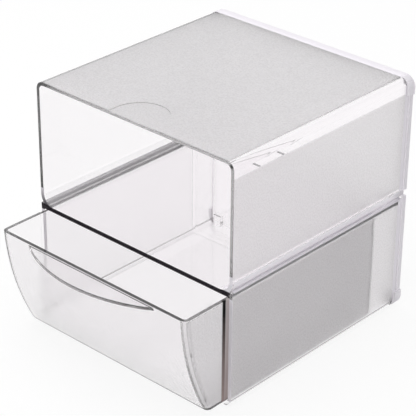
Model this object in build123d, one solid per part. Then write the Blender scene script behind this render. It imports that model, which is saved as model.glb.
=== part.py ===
from build123d import *
import math
import os

# Clear stackable drawer box, in millimetres: an open compartment above a drawer.
# +Z is up, the drawer opens towards -Y, and the origin is the middle of the case's base.

# Driving dimensions of the case
case_width = 150.8
case_depth = 152.4            # front edge of the walls to the back of the rear panel
case_height = 152.4
side_wall = 2.2
roof_thickness = 2.2
floor_thickness = 2.2
shelf_thickness = 2.6
shelf_top = 73.2
case_corner_radius = 5.5      # outside, along the four long edges
bay_corner_radius = 1.0       # where the drawer bay's sides meet the shelf

# Groove along each side, where the open compartment's rounded foot shows outside
groove_radius = 9.8
groove_ledge_level = 74.0

# Shallow U-shaped finger mark in the roof, open at the front edge
mark_width = 34.0
mark_length = 24.0
mark_depth = 0.4

# Slot in each groove for a clip from the next box, open at the rear
clip_slot_height = 4.2
clip_slot_length = 11.0
clip_slot_depth = 1.3
clip_slot_level = 77.6

# Rear panel
panel_thickness = 3.2
panel_side_overhang = 0.8
plug_depth = 1.6
plug_clearance = 0.2
lug_proud = 1.0
lug_leg = 11.0
lug_reach = 2.4               # forward of the panel, over the corners of the case
lug_corner_radius = 7.0
lug_clearance = 0.1
stop_block_width = 6.0
stop_block_height = 7.0
stop_block_depth = 4.6

# Drawer
drawer_side_clearance = 0.4
drawer_floor_clearance = 0.3
drawer_top_clearance = 0.8
drawer_wall = 2.2
drawer_floor = 2.2
drawer_edge_radius = 3.4      # outside, where the sides meet the floor
drawer_corner_radius = 4.2    # outside, in plan
front_rim_overhang = 17.6     # closed drawer's rim in front of the case
front_foot_setback = 19.6     # foot of the front wall behind its rim
front_bulge = 3.8             # of the front wall's curve, off its chord
drawer_stop_clearance = 0.4   # closed drawer's back to the stop blocks
opening_shown = 16.4          # how far the drawer is drawn out at rest
side_step = 0.5               # the sides are this much narrower behind the front part
front_part_length = 29.6      # from the rim's front to the step in the sides

# Half-moon pull at the drawer's rim
pull_chord = 99.0
pull_reach = 13.9
pull_thickness = 2.0
pull_drop = 0.6               # top of the pull below the rim
pull_edge_radius = 0.7

# Places worked out from the dimensions
half_width = case_width / 2
front = -case_depth / 2
back = case_depth / 2
panel_face = back - panel_thickness
inner_half_width = half_width - side_wall
shelf_underside = shelf_top - shelf_thickness
groove_top = shelf_underside + groove_radius
foot_inner_radius = groove_radius - side_wall
inner_corner_radius = case_corner_radius - side_wall
drawer_half_width = inner_half_width - drawer_side_clearance
drawer_base = floor_thickness + drawer_floor_clearance
drawer_rim = shelf_underside - drawer_top_clearance
stop_plane = panel_face - stop_block_depth
drawer_back = stop_plane - drawer_stop_clearance - opening_shown
drawer_front = front - front_rim_overhang - opening_shown


def section_at(y):
    """Plane across the case at y: its x is +X, its y is +Z."""
    return Plane(origin=(0, y, 0), x_dir=(1, 0, 0), z_dir=(0, -1, 0))


def along_case(sketch, y_from, y_to):
    """Extrude a cross-section of the case from one y to another."""
    return extrude(section_at(y_from) * sketch, amount=-(y_to - y_from))


def rounded_section(half, low, high, low_radius, high_radius):
    """Cross-section box with its own radius at the lower and the upper corners."""
    box = Pos(0, (low + high) / 2) * Rectangle(2 * half, high - low)
    lower = box.vertices().filter_by(lambda v: v.Y < (low + high) / 2)
    box = fillet(lower, low_radius)
    upper = [v for v in box.vertices() if abs(v.Y - high) < 1e-6]
    return fillet(upper, high_radius)


def upper_opening(inset=0.0):
    return rounded_section(
        inner_half_width - inset,
        shelf_top + inset,
        case_height - roof_thickness - inset,
        foot_inner_radius - inset,
        inner_corner_radius - inset,
    )


def bay_opening(inset=0.0):
    return rounded_section(
        inner_half_width - inset,
        floor_thickness + inset,
        shelf_underside - inset,
        inner_corner_radius - inset,
        bay_corner_radius - inset,
    )


def groove_section(side):
    """Outside of the upper compartment's rounded foot, down to the ledge."""
    centre = half_width - groove_radius
    height = groove_top - groove_ledge_level
    strip = Pos(half_width - groove_radius / 2, groove_ledge_level + height / 2) * Rectangle(
        groove_radius, height
    )
    foot = Pos(centre, groove_top) * Circle(groove_radius)
    sliver = strip - foot
    return sliver if side > 0 else mirror(sliver, about=Plane.YZ)


def make_case():
    outline = rounded_section(half_width, 0, case_height, case_corner_radius, case_corner_radius)
    section = outline - upper_opening() - bay_opening()
    for side in (-1, 1):
        section -= groove_section(side)
    case = along_case(section, front, panel_face)
    straight = mark_length - mark_width / 2
    mark = Pos(0, front + straight / 2) * Rectangle(mark_width, straight)
    mark += Pos(0, front + straight) * Circle(mark_width / 2)
    mark -= Pos(0, front - mark_width) * Rectangle(2 * mark_width, 2 * mark_width)
    case -= extrude(Pos(0, 0, case_height - mark_depth) * mark, amount=2 * mark_depth)
    for side in (-1, 1):
        case -= clip_slot(side, panel_face)
    return case


def clip_slot(side, rear_end):
    """Cutter for the slot in a side's groove, from its blind end to rear_end."""
    slot_front = panel_face - clip_slot_length
    return Pos(side * half_width, (slot_front + rear_end) / 2, clip_slot_level) * Box(
        2 * clip_slot_depth, rear_end - slot_front, clip_slot_height
    )


def make_rear_panel():
    panel_half = half_width + panel_side_overhang
    panel_radius = case_corner_radius + panel_side_overhang
    outline = rounded_section(panel_half, 0, case_height, panel_radius, panel_radius)
    panel = along_case(outline, panel_face, back)
    plugs = upper_opening(plug_clearance) + bay_opening(plug_clearance)
    panel += along_case(plugs, panel_face - plug_depth, panel_face)
    for side in (-1, 1):
        panel += stop_block(side)
        panel -= clip_slot(side, back + panel_thickness)
    return panel + corner_lugs(panel_half)


def corner_lugs(panel_half):
    """Four lugs round the rear corners, proud of the panel and over the case."""
    lug_half = panel_half + lug_proud
    outer = rounded_section(lug_half, 0, case_height, lug_corner_radius, lug_corner_radius)
    corners = Sketch()
    for x in (-lug_half, lug_half):
        for z in (0, case_height):
            corners += Pos(x, z) * Rectangle(2 * lug_leg, 2 * lug_leg)
    lugs = along_case(outer & corners, panel_face - lug_reach, back)
    case_side = rounded_section(
        half_width + lug_clearance, 0, case_height, case_corner_radius, case_corner_radius
    )
    return lugs - along_case(case_side, panel_face - 2 * lug_reach, panel_face)


def stop_block(side):
    """Block at a lower corner of the rear panel that the closed drawer meets."""
    x = side * (inner_half_width - plug_clearance - inner_corner_radius - stop_block_width / 2)
    z = floor_thickness + plug_clearance + stop_block_height / 2
    y = panel_face - stop_block_depth / 2
    return Pos(x, y, z) * Box(stop_block_width, stop_block_depth, stop_block_height)


def drawer_outline():
    """Side view of the drawer: curved front wall, straight back."""
    rim_front = (drawer_front, drawer_rim)
    foot = (drawer_front + front_foot_setback, drawer_base)
    chord = math.hypot(front_foot_setback, drawer_rim - drawer_base)
    middle = (
        (rim_front[0] + foot[0]) / 2 - front_bulge * (drawer_rim - drawer_base) / chord,
        (rim_front[1] + foot[1]) / 2 - front_bulge * front_foot_setback / chord,
    )
    curve = ThreePointArc(rim_front, middle, foot)
    rest = Polyline(foot, (drawer_back, drawer_base), (drawer_back, drawer_rim), rim_front)
    return make_face(curve + rest)


def make_drawer():
    side_view = Plane(origin=(-drawer_half_width, 0, 0), x_dir=(0, 1, 0), z_dir=(1, 0, 0))
    body = extrude(side_view * drawer_outline(), amount=2 * drawer_half_width)
    body = fillet(upright_edges(body), drawer_corner_radius)
    body = fillet(base_edges(body), drawer_edge_radius)
    rim_face = body.faces().sort_by(Axis.Z)[-1]
    tray = offset(body, amount=-drawer_wall, openings=rim_face)
    step = drawer_front + front_part_length
    length = drawer_back - step
    for side in (-1, 1):
        tray -= Pos(side * drawer_half_width, step + length, drawer_rim / 2) * Box(
            2 * side_step, 2 * length, 2 * drawer_rim
        )
    return tray + make_pull()


def upright_edges(body):
    """The four corner edges that run from the base to the rim."""
    return [e for e in body.edges() if e.bounding_box().size.Z > (drawer_rim - drawer_base) / 2]


def base_edges(body):
    """The closed loop of edges round the base."""
    return body.faces().sort_by(Axis.Z)[0].edges()


def make_pull():
    """Half-moon ledge along the rim, rounded along its free edge."""
    radius = (pull_chord**2 / 4 + pull_reach**2) / (2 * pull_reach)
    centre_y = drawer_front - pull_reach + radius
    overlap = drawer_wall / 2
    disc = Pos(0, centre_y) * Circle(radius)
    strip = Pos(0, drawer_front + overlap - pull_reach) * Rectangle(2 * pull_chord, 2 * pull_reach)
    top = drawer_rim - pull_drop
    ledge = extrude(Pos(0, 0, top - pull_thickness) * (disc & strip), amount=pull_thickness)
    arcs = ledge.edges().filter_by(GeomType.CIRCLE)
    return fillet(arcs, pull_edge_radius)


os.makedirs("parts", exist_ok=True)
export_step(make_case(), "parts/case.step")
export_step(make_rear_panel(), "parts/rear_panel.step")
export_step(make_drawer(), "parts/drawer.step")
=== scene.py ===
import math

import bpy
from mathutils import Matrix, Vector

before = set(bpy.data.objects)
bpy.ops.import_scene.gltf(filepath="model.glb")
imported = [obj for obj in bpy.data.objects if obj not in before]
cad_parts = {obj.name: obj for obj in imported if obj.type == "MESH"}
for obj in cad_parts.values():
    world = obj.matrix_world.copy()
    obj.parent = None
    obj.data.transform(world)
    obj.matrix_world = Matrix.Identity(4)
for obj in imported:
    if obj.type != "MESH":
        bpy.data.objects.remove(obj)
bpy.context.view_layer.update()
SCENE = bpy.context.scene

# Lengths are in metres in the part's frame, unless a name ends in MM or PX.
# A pair given to Graph.ramp is where the mask is 0 and where it is 1. A pair given to
# Graph.band is its low and its high end, and a third number is the softness of both.

# Camera, solved from the box's straight edges in the photo
FOCAL_PX = 1724.34
IMAGE_PX = 416
SENSOR_MM = 36.0
YAW, PITCH, ROLL = math.radians(42.57), math.radians(28.43), math.radians(0.49)
SHIFT_MM = Vector((8.92, -59.99, 1051.23))
MM_PER_METRE = 1000
CLIP_START = 0.01

# Places on the solids
OUTER_HALF_WIDTH = 0.0754
CASE_HEIGHT = 0.1524
PANEL_FACE = 0.0732
SIDE_FACE = (OUTER_HALF_WIDTH - 0.0003, OUTER_HALF_WIDTH - 0.0001)
ROOF_FACE = (CASE_HEIGHT - 0.001, CASE_HEIGHT - 0.0008)
CASE_FRONT = (-0.0758, -0.0761)

# Body of the plastic
PLASTIC_IOR = 1.59
CASE_TINT = (0.996, 0.982, 0.992)
DRAWER_TINT = (0.998, 0.988, 0.995)
CASE_ABSORPTION, PANEL_ABSORPTION, DRAWER_ABSORPTION = 5.0, 1.0, 16.0
ABSORPTION_COLOR = (0.02, 0, 0.02)

# Surface of the plastic: slight waves all over, grain and dark specks where it is frosted
PLASTIC_ROUGHNESS = 0.012
BUMP_DISTANCE = 0.002
WAVE_SCALE, WAVE_DETAIL, WAVE_HEIGHT = 22.0, 2.0, 0.02
GRAIN_SCALE, GRAIN_DETAIL, GRAIN_HEIGHT = 900.0, 2.0, 0.12
SPECK_SCALE, SPECK_DETAIL, SPECK_SHADE = 1100.0, 3.0, 0.10
SPECK_RAMP = (0.40, 0.62)

# Frosted faces
CASE_FROST_ROUGHNESS = 0.45
DRAWER_FROST_ROUGHNESS = 0.30
FROST_LENGTH = (-0.0763, 0.0731)
ROOF_FROST = (-1.0, 0.0715)
UPPER_FROST = (0.0815, 0.1427)
LOWER_FROST = (0.0045, 0.0741)
LEFT_FROST_SHARE = 0.35
PANEL_RIM_SIDE = (OUTER_HALF_WIDTH + 0.0002, OUTER_HALF_WIDTH + 0.0004)
PANEL_RIM_TOP = (CASE_HEIGHT - 0.0003, CASE_HEIGHT - 0.0001)
PANEL_RIM_REAR = (PANEL_FACE - 0.0028, PANEL_FACE - 0.0026)
DRAWER_FROST = (0.0045, 0.0690)
DRAWER_FLANK = (0.0680, 0.0700)
DRAWER_FRONT_SHARE = 0.3

# Inner faces of the drawer, by their normals
INSIDE_TOWARD_MIDDLE = -0.02
INSIDE_END_TURN = 0.3
INSIDE_FLOOR_TURN = 0.7

# Painted pale light on the case, standing in for light scattered in its grooves, the web over
# each groove's front end, the front posts and the rear border
PAINTED_SCATTER_COLOR = (0.86, 0.83, 0.88)
GROOVE_SIDE, GROOVE_HEIGHT = (0.0655, 0.0665), (0.0733, 0.0800)
GROOVE_LENGTH = (-0.0750, 0.0731)
GROOVE_PAINTED_SCATTER, LEFT_GROOVE_PAINTED_SCATTER = 0.75, 0.15
WEB_SIDE, WEB_HEIGHT = (0.0640, 0.0650), (0.0738, 0.0840)
POST_SIDE, POST_HEIGHT = (0.0728, 0.0732), (0.0040, 0.0700)
ROOF_SKIN = (0.1516, 0.1520)
REAR_BORDER = (0.0694, 0.0699)
POST_PAINTED_SCATTER = 0.85

# Painted pale light on the rear panel, for light scattered in its edges, its corners and the clip
# slots' notches
PANEL_TOP = (0.1503, 0.1505)
CORNER_SIDE, CORNER_TOP, CORNER_FOOT = (0.0712, 0.0714), (0.1470, 0.1475), (0.0054, 0.0049)
NOTCH_SIDE, NOTCH_HEIGHT = (0.0732, 0.0734), (0.0752, 0.0800)
EDGE_PAINTED_SCATTER = 0.75

# Painted dark reflection on the shelf's front edge and on the rounded foot at its left end
SHELF_PAINTED_DARK_COLOR = (0.022, 0.018, 0.024)
SHELF_SHADE = 0.90
SHELF_FRONT = (-0.0759, -0.0761)
SHELF_BAND = (0.0702, 0.0737, 0.0002)
SHELF_RIGHT_END = (0.0738, 0.0732)
FOOT_LEFT, FOOT_TOP, FOOT_BOTTOM = (-0.0640, -0.0700), (0.0860, 0.0745), (0.0700, 0.0702)

# Thin dark lines of painted shade along the edges; their colour also darkens the frost's specks.
# The drawer's corners are found by the turn of the normal.
EDGE_SHADE_AND_SPECK_COLOR = (0.10, 0.084, 0.088)
CASE_LINES = ((0.0002, 0.0012, 0.0002), (0.0039, 0.0048, 0.0002))
CASE_LINE_SIDE = (0.0700, 0.0710)
CASE_LINE_SHADE = 0.55
PANEL_LINE = (0.0012, 0.0008)
PANEL_LINE_SHADE = 0.3
FRONT_TURN = (-0.15, -0.25)
LEFT_CORNER, LEFT_CORNER_END, LEFT_CORNER_SHADE = (-0.50, -0.58), (-0.95, -0.90), 0.95
RIGHT_CORNER = ((0.36, 0.46, 0.03), (0.78, 0.86, 0.02))
RIGHT_CORNER_SHADE = 0.30
PULL_EDGE, PULL_HEIGHT, PULL_SHADE = (-0.1116, -0.1120), (0.0673, 0.0686), 0.55
DRAWER_FOOT, DRAWER_FOOT_SHADE = (0.0030, 0.0038, 0.0003), 0.38
FLANK_SIDE, FLANK_HEIGHT, FLANK_SHADE = (0.0700, 0.0712), (0.040, 0.008), 0.20
DRAWER_LINE_HEIGHT = (0.0028, 0.0690)

# Painted shade: a strip down each side of the drawer, black ahead and brown behind, from foot to
# rim
STRIP_SIDE = (0.0719, 0.0730, 0.0001)
STRIP_DARK = (-0.0810, -0.0777)
STRIP_BROWN = (-0.0777, -0.0750)
STRIP_FOOT = (0.0040, 0.0050)
STRIP_HEIGHT = (0.0, 0.062)
SHADE_STRIP_DARK_LOW, SHADE_STRIP_DARK_HIGH = (0.38, 0.30, 0.29), (0.012, 0.012, 0.012)
SHADE_STRIP_BROWN_LOW, SHADE_STRIP_BROWN_HIGH = (0.40, 0.33, 0.32), (0.52, 0.47, 0.47)

# Floor, world and lamp
FLOOR_SIZE = 6.0
FLOOR_COLOR = (0.86, 0.86, 0.86)
FLOOR_GLOW = 0.88
SKY_LIGHT = 0.75
SKY_DARK = 0.80
SKY_BAND = (0.34, 0.62, 0.05)
SKY_AHEAD = (0.72, 0.60)
LAMP_SIZE = 1.2
LAMP_WATTS = 10.0
LAMP_PLACE = (-0.2, -0.2, 1.3)


class Graph:
    """Adds and wires the nodes of one node tree."""

    def __init__(self, tree):
        self.tree = tree

    def add(self, kind):
        return self.tree.nodes.new(kind)

    def feed(self, value, socket):
        """Give a socket a number, a colour or another node's output."""
        if isinstance(value, (int, float)):
            socket.default_value = value
        elif isinstance(value, tuple):
            socket.default_value = (*value, 1)
        else:
            self.tree.links.new(value, socket)

    def math(self, operation, *values, clamp=False):
        node = self.add("ShaderNodeMath")
        node.operation = operation
        node.use_clamp = clamp
        for slot, value in enumerate(values):
            self.feed(value, node.inputs[slot])
        return node.outputs["Value"]

    def ramp(self, value, start, end):
        """0 at start, 1 at end, straight in between."""
        span = end - start
        return self.math("MULTIPLY_ADD", value, 1 / span, -start / span, clamp=True)

    def band(self, value, low, high, soft=0.0004):
        """1 between low and high, with soft edges."""
        rise = self.ramp(value, low - soft, low + soft)
        fall = self.ramp(value, high + soft, high - soft)
        return self.math("MULTIPLY", rise, fall)

    def between(self, value, low, high):
        """low where value is 0, high where it is 1."""
        return self.math("MULTIPLY_ADD", value, high - low, low)

    def invert(self, value):
        return self.math("SUBTRACT", 1.0, value)

    def all_of(self, first, *others):
        for value in others:
            first = self.math("MULTIPLY", first, value)
        return first

    def any_of(self, first, *others):
        for value in others:
            first = self.math("MAXIMUM", first, value)
        return first

    def split(self, vector):
        node = self.add("ShaderNodeSeparateXYZ")
        self.feed(vector, node.inputs["Vector"])
        return [node.outputs[axis] for axis in "XYZ"]

    def noise(self, coords, scale, detail):
        node = self.add("ShaderNodeTexNoise")
        node.inputs["Scale"].default_value = scale
        node.inputs["Detail"].default_value = detail
        self.feed(coords, node.inputs["Vector"])
        return node.outputs["Fac"]

    def blend(self, share, low, high):
        """Colour between low and high."""
        node = self.add("ShaderNodeMix")
        node.data_type = "RGBA"
        for value, slot in ((share, 0), (low, 6), (high, 7)):
            self.feed(value, node.inputs[slot])
        return node.outputs[2]

    def mix(self, share, under, over):
        """Shader under where share is 0, over where it is 1."""
        node = self.add("ShaderNodeMixShader")
        for slot, value in enumerate((share, under, over)):
            self.feed(value, node.inputs[slot])
        return node.outputs["Shader"]


class Spot:
    """Place and normal of a shaded point on its part, as node outputs."""

    def __init__(self, graph):
        texture = graph.add("ShaderNodeTexCoord")
        self.coords = texture.outputs["Object"]
        self.x, self.y, self.z = graph.split(self.coords)
        self.side = graph.math("ABSOLUTE", self.x)
        self.right = graph.math("GREATER_THAN", self.x, 0.0)
        self.turn_x, self.turn_y, self.turn_z = graph.split(texture.outputs["Normal"])


def case_frost(graph, spot):
    """Grained roof and sides, each with a clear border along its long edges."""
    length = graph.band(spot.y, *FROST_LENGTH)
    roof = graph.all_of(length, graph.band(spot.side, *ROOF_FROST), graph.ramp(spot.z, *ROOF_FACE))
    outer = graph.ramp(spot.side, *SIDE_FACE)
    heights = graph.any_of(graph.band(spot.z, *UPPER_FROST), graph.band(spot.z, *LOWER_FROST))
    share = graph.between(spot.right, LEFT_FROST_SHARE, 1)
    return graph.any_of(roof, graph.all_of(length, outer, heights, share))


def panel_frost(graph, spot):
    """Matt edges all round the rear panel."""
    edge = graph.any_of(
        graph.ramp(spot.side, *PANEL_RIM_SIDE), graph.ramp(spot.z, *PANEL_RIM_TOP)
    )
    return graph.all_of(edge, graph.ramp(spot.y, *PANEL_RIM_REAR))


def drawer_frost(graph, spot):
    """Grained skin on the outside, clear inside and along the rim."""
    outward = graph.all_of(
        graph.invert(drawer_inside(graph, spot)), graph.band(spot.z, *DRAWER_FROST)
    )
    flank = graph.ramp(spot.side, *DRAWER_FLANK)
    return graph.all_of(outward, graph.between(flank, DRAWER_FRONT_SHARE, 1))


def drawer_inside(graph, spot):
    """1 on the faces that look into the drawer: their normals point to its middle."""
    toward = graph.math("MULTIPLY", spot.turn_x, spot.x)
    sides = graph.math("LESS_THAN", toward, INSIDE_TOWARD_MIDDLE)
    front = graph.math("GREATER_THAN", spot.turn_y, INSIDE_END_TURN)
    back = graph.math("LESS_THAN", spot.turn_y, -INSIDE_END_TURN)
    rear_half = graph.math("GREATER_THAN", spot.y, 0.0)
    front_half = graph.invert(rear_half)
    ends = graph.any_of(graph.all_of(front, front_half), graph.all_of(back, rear_half))
    floor = graph.math("GREATER_THAN", spot.turn_z, INSIDE_FLOOR_TURN)
    return graph.any_of(sides, ends, floor)


def case_painted_scatter(graph, spot):
    """Painted pale light for the light scattered in the grooves, webs, front posts and rear border
    of the case.
    """
    groove = graph.all_of(
        graph.ramp(spot.side, *GROOVE_SIDE),
        graph.band(spot.z, *GROOVE_HEIGHT),
        graph.band(spot.y, *GROOVE_LENGTH),
        graph.between(spot.right, LEFT_GROOVE_PAINTED_SCATTER, GROOVE_PAINTED_SCATTER),
    )
    front = graph.ramp(spot.y, *CASE_FRONT)
    web = graph.all_of(front, graph.ramp(spot.side, *WEB_SIDE), graph.band(spot.z, *WEB_HEIGHT))
    skin = graph.any_of(graph.ramp(spot.side, *SIDE_FACE), graph.ramp(spot.z, *ROOF_SKIN))
    rear = graph.all_of(skin, graph.ramp(spot.y, *REAR_BORDER))
    post = graph.all_of(graph.ramp(spot.side, *POST_SIDE), graph.band(spot.z, *POST_HEIGHT), front)
    return graph.any_of(groove, graph.all_of(graph.any_of(post, web, rear), POST_PAINTED_SCATTER))


def panel_painted_scatter(graph, spot):
    """Painted pale light for the light scattered in the panel's edges."""
    corner = graph.ramp(spot.side, *CORNER_SIDE)
    edge = graph.any_of(
        graph.ramp(spot.side, *SIDE_FACE),
        graph.ramp(spot.z, *PANEL_TOP),
        graph.all_of(corner, graph.ramp(spot.z, *CORNER_TOP)),
        graph.all_of(corner, graph.ramp(spot.z, *CORNER_FOOT)),
        graph.all_of(graph.ramp(spot.side, *NOTCH_SIDE), graph.band(spot.z, *NOTCH_HEIGHT)),
    )
    return graph.all_of(edge, EDGE_PAINTED_SCATTER)


def shelf_shade(graph, spot):
    """Painted dark reflection on the shelf's front edge and the rounded foot above it, which
    internal reflection keeps dark in white light.
    """
    shelf = graph.all_of(graph.band(spot.z, *SHELF_BAND), graph.ramp(spot.x, *SHELF_RIGHT_END))
    foot = graph.all_of(
        graph.ramp(spot.x, *FOOT_LEFT),
        graph.ramp(spot.z, *FOOT_TOP),
        graph.ramp(spot.z, *FOOT_BOTTOM),
    )
    edge = graph.ramp(spot.y, *SHELF_FRONT)
    return graph.all_of(edge, graph.any_of(shelf, foot), SHELF_SHADE)


def case_painted_edge_shade(graph, spot):
    """Painted shade: thin dark lines where the sides turn under the base."""
    lines = graph.any_of(*(graph.band(spot.z, *line) for line in CASE_LINES))
    return graph.all_of(lines, graph.ramp(spot.side, *CASE_LINE_SIDE), CASE_LINE_SHADE)


def panel_painted_edge_shade(graph, spot):
    """Painted shade: a thin dark line along the panel's foot."""
    return graph.all_of(graph.ramp(spot.z, *PANEL_LINE), PANEL_LINE_SHADE)


def drawer_painted_edge_shade(graph, spot):
    """Painted shade: dark outlines of the front's upright corners, the pull and the foot, and the
    lower flanks darker towards the bottom.
    """
    front = graph.ramp(spot.turn_y, *FRONT_TURN)
    left = graph.all_of(
        graph.ramp(spot.turn_x, *LEFT_CORNER), graph.ramp(spot.turn_x, *LEFT_CORNER_END), front
    )
    right = graph.any_of(*(graph.band(spot.turn_x, *line) for line in RIGHT_CORNER))
    pull = graph.all_of(graph.ramp(spot.y, *PULL_EDGE), graph.band(spot.z, *PULL_HEIGHT))
    # Painted shade on the drawer's lower flanks, darker towards the bottom
    flank = graph.all_of(graph.ramp(spot.side, *FLANK_SIDE), graph.ramp(spot.z, *FLANK_HEIGHT))
    lines = graph.any_of(
        graph.all_of(left, LEFT_CORNER_SHADE),
        graph.all_of(pull, PULL_SHADE),
        graph.all_of(right, front, RIGHT_CORNER_SHADE),
        graph.all_of(graph.band(spot.z, *DRAWER_FOOT), DRAWER_FOOT_SHADE),
        graph.all_of(flank, FLANK_SHADE),
    )
    height = graph.band(spot.z, *DRAWER_LINE_HEIGHT)
    return graph.all_of(lines, height, graph.invert(drawer_inside(graph, spot)))


def lay_over(graph, surface, mask, color):
    """Put a diffuse colour over the plastic where the mask is, on faces seen from outside."""
    paint = graph.add("ShaderNodeBsdfDiffuse")
    graph.feed(color, paint.inputs["Color"])
    behind = graph.add("ShaderNodeNewGeometry").outputs["Backfacing"]
    share = graph.all_of(mask, graph.invert(behind))
    return graph.mix(share, surface, paint.outputs["BSDF"])


def lay_painted_shade_strip(graph, surface, spot):
    """Paint the dark and the brown half of the shade strip over the drawer's sides."""
    where = graph.all_of(graph.band(spot.side, *STRIP_SIDE), graph.ramp(spot.z, *STRIP_FOOT))
    height = graph.ramp(spot.z, *STRIP_HEIGHT)
    for length, low, high in (
        (STRIP_DARK, SHADE_STRIP_DARK_LOW, SHADE_STRIP_DARK_HIGH),
        (STRIP_BROWN, SHADE_STRIP_BROWN_LOW, SHADE_STRIP_BROWN_HIGH),
    ):
        mask = graph.all_of(where, graph.band(spot.y, *length))
        surface = lay_over(graph, surface, mask, graph.blend(height, low, high))
    return surface


def new_material(name):
    material = bpy.data.materials.new(name)
    material.use_nodes = True
    material.node_tree.nodes.clear()
    graph = Graph(material.node_tree)
    return material, graph, graph.add("ShaderNodeOutputMaterial")


def clear_plastic(name, tint, absorption, roughness, frost, lines, painted_light_and_shade=(), strip=False):
    """Clear moulding, rough where frost is 1, with painted shade lines and with painted light and
    shade laid over it.
    """
    material, graph, output = new_material(name)
    spot = Spot(graph)
    mask = frost(graph, spot)
    shader = graph.add("ShaderNodeBsdfPrincipled")
    shader.inputs["Base Color"].default_value = (*tint, 1)
    shader.inputs["IOR"].default_value = PLASTIC_IOR
    shader.inputs["Transmission Weight"].default_value = 1.0
    graph.feed(graph.between(mask, PLASTIC_ROUGHNESS, roughness), shader.inputs["Roughness"])

    waves = graph.noise(spot.coords, WAVE_SCALE, WAVE_DETAIL)
    grain = graph.noise(spot.coords, GRAIN_SCALE, GRAIN_DETAIL)
    height = graph.math(
        "MULTIPLY_ADD", graph.all_of(mask, grain), GRAIN_HEIGHT, graph.all_of(waves, WAVE_HEIGHT)
    )
    bump = graph.add("ShaderNodeBump")
    bump.inputs["Strength"].default_value = 1.0
    bump.inputs["Distance"].default_value = BUMP_DISTANCE
    graph.feed(height, bump.inputs["Height"])
    graph.feed(bump.outputs["Normal"], shader.inputs["Normal"])

    specks = graph.ramp(graph.noise(spot.coords, SPECK_SCALE, SPECK_DETAIL), *SPECK_RAMP)
    # Painted shade lines along the edges, together with the frost's dark specks
    dark = graph.any_of(lines(graph, spot), graph.all_of(specks, mask, SPECK_SHADE))
    surface = lay_over(graph, shader.outputs["BSDF"], dark, EDGE_SHADE_AND_SPECK_COLOR)
    # Painted light and painted shade laid over the plastic
    for where, color in painted_light_and_shade:
        surface = lay_over(graph, surface, where(graph, spot), color)
    # Painted shade strip on the drawer's sides
    if strip:
        surface = lay_painted_shade_strip(graph, surface, spot)
    graph.feed(surface, output.inputs["Surface"])

    body = graph.add("ShaderNodeVolumeAbsorption")
    body.inputs["Color"].default_value = (*ABSORPTION_COLOR, 1)
    body.inputs["Density"].default_value = absorption
    graph.feed(body.outputs["Volume"], output.inputs["Volume"])
    return material


def set_up_plastic():
    case_plastic = clear_plastic(
        "clear_plastic_case",
        CASE_TINT,
        CASE_ABSORPTION,
        CASE_FROST_ROUGHNESS,
        case_frost,
        case_painted_edge_shade,
        painted_light_and_shade=((case_painted_scatter, PAINTED_SCATTER_COLOR), (shelf_shade, SHELF_PAINTED_DARK_COLOR)),
    )
    panel_plastic = clear_plastic(
        "clear_plastic_panel",
        CASE_TINT,
        PANEL_ABSORPTION,
        CASE_FROST_ROUGHNESS,
        panel_frost,
        panel_painted_edge_shade,
        painted_light_and_shade=((panel_painted_scatter, PAINTED_SCATTER_COLOR),),
    )
    drawer_plastic = clear_plastic(
        "clear_plastic_drawer",
        DRAWER_TINT,
        DRAWER_ABSORPTION,
        DRAWER_FROST_ROUGHNESS,
        drawer_frost,
        drawer_painted_edge_shade,
        strip=True,
    )
    for node, material in (
        ("case", case_plastic),
        ("rear_panel", panel_plastic),
        ("drawer", drawer_plastic),
    ):
        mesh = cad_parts[node].data
        mesh.materials.clear()
        mesh.materials.append(material)


def seen_rays(graph, rays):
    """1 for the rays that show a surface: straight, mirrored or through clear plastic."""
    kinds = ("Is Camera Ray", "Is Glossy Ray", "Is Transmission Ray")
    return graph.any_of(*(rays.outputs[kind] for kind in kinds))


def set_up_floor():
    """Paper under the box that looks white and still takes its shadow."""
    bpy.ops.mesh.primitive_plane_add(size=FLOOR_SIZE, location=(0, 0, 0))
    floor = bpy.context.object
    floor.name = "studio_floor"
    material, graph, output = new_material("floor_paper")
    paper = graph.add("ShaderNodeBsdfDiffuse")
    paper.inputs["Color"].default_value = (*FLOOR_COLOR, 1)
    white = graph.add("ShaderNodeEmission")
    white.inputs["Strength"].default_value = 1.0
    glow = graph.all_of(seen_rays(graph, graph.add("ShaderNodeLightPath")), FLOOR_GLOW)
    surface = graph.mix(glow, paper.outputs["BSDF"], white.outputs["Emission"])
    graph.feed(surface, output.inputs["Surface"])
    floor.data.materials.append(material)


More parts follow.
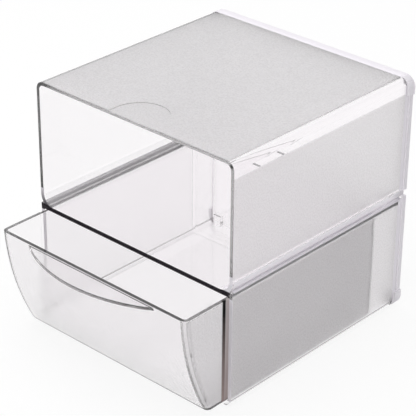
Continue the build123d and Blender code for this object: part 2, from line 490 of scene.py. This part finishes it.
def set_up_world():
    """Plain grey light, seen as white, with a dimmer band that only the plastic mirrors."""
    world = bpy.data.worlds.new("studio")
    SCENE.world = world
    world.use_nodes = True
    world.node_tree.nodes.clear()
    graph = Graph(world.node_tree)
    output = graph.add("ShaderNodeOutputWorld")
    lighting = graph.add("ShaderNodeBackground")
    lighting.inputs["Color"].default_value = (1, 1, 1, 1)
    lighting.inputs["Strength"].default_value = SKY_LIGHT
    seen = graph.add("ShaderNodeBackground")
    seen.inputs["Color"].default_value = (1, 1, 1, 1)
    rays = graph.add("ShaderNodeLightPath")
    x, y, z = graph.split(graph.add("ShaderNodeTexCoord").outputs["Generated"])
    band = graph.band(z, *SKY_BAND)
    ahead = graph.math("MULTIPLY", x, -math.sin(YAW))
    ahead = graph.math("MULTIPLY_ADD", y, math.cos(YAW), ahead)
    aside = graph.ramp(ahead, *SKY_AHEAD)
    unseen = graph.invert(rays.outputs["Is Camera Ray"])
    dark = graph.all_of(band, aside, unseen)
    graph.feed(graph.between(dark, 1.0, SKY_DARK), seen.inputs["Strength"])
    sky = graph.mix(
        seen_rays(graph, rays), lighting.outputs["Background"], seen.outputs["Background"]
    )
    graph.feed(sky, output.inputs["Surface"])


def set_up_light():
    data = bpy.data.lights.new("softbox", "AREA")
    data.shape = "RECTANGLE"
    data.size = LAMP_SIZE
    data.size_y = LAMP_SIZE
    data.energy = LAMP_WATTS
    lamp = bpy.data.objects.new("softbox", data)
    SCENE.collection.objects.link(lamp)
    lamp.location = LAMP_PLACE


def set_up_render():
    """Enough bounces for light to pass through all the clear walls."""
    SCENE.view_settings.view_transform = "Standard"
    SCENE.cycles.use_denoising = True
    SCENE.cycles.max_bounces = 32
    SCENE.cycles.transmission_bounces = 32
    SCENE.cycles.transparent_max_bounces = 32
    SCENE.cycles.glossy_bounces = 16
    SCENE.cycles.diffuse_bounces = 4


def set_up_camera():
    forward = Vector(
        (
            -math.sin(YAW) * math.cos(PITCH),
            math.cos(YAW) * math.cos(PITCH),
            -math.sin(PITCH),
        )
    )
    right = Vector((math.cos(YAW), math.sin(YAW), 0))
    up = right.cross(forward)
    x_axis = right * math.cos(ROLL) + up * math.sin(ROLL)
    y_axis = up * math.cos(ROLL) - right * math.sin(ROLL)
    turn = Matrix((x_axis, y_axis, forward))
    place = -(turn.transposed() @ SHIFT_MM) / MM_PER_METRE
    camera = bpy.data.objects.new("camera", bpy.data.cameras.new("camera"))
    SCENE.collection.objects.link(camera)
    basis = Matrix((x_axis, y_axis, -forward)).transposed().to_4x4()
    camera.matrix_world = Matrix.Translation(place) @ basis
    camera.data.sensor_width = SENSOR_MM
    camera.data.lens = FOCAL_PX / IMAGE_PX * SENSOR_MM
    camera.data.clip_start = CLIP_START
    SCENE.camera = camera


set_up_render()
set_up_world()
set_up_floor()
set_up_light()
set_up_plastic()
set_up_camera()
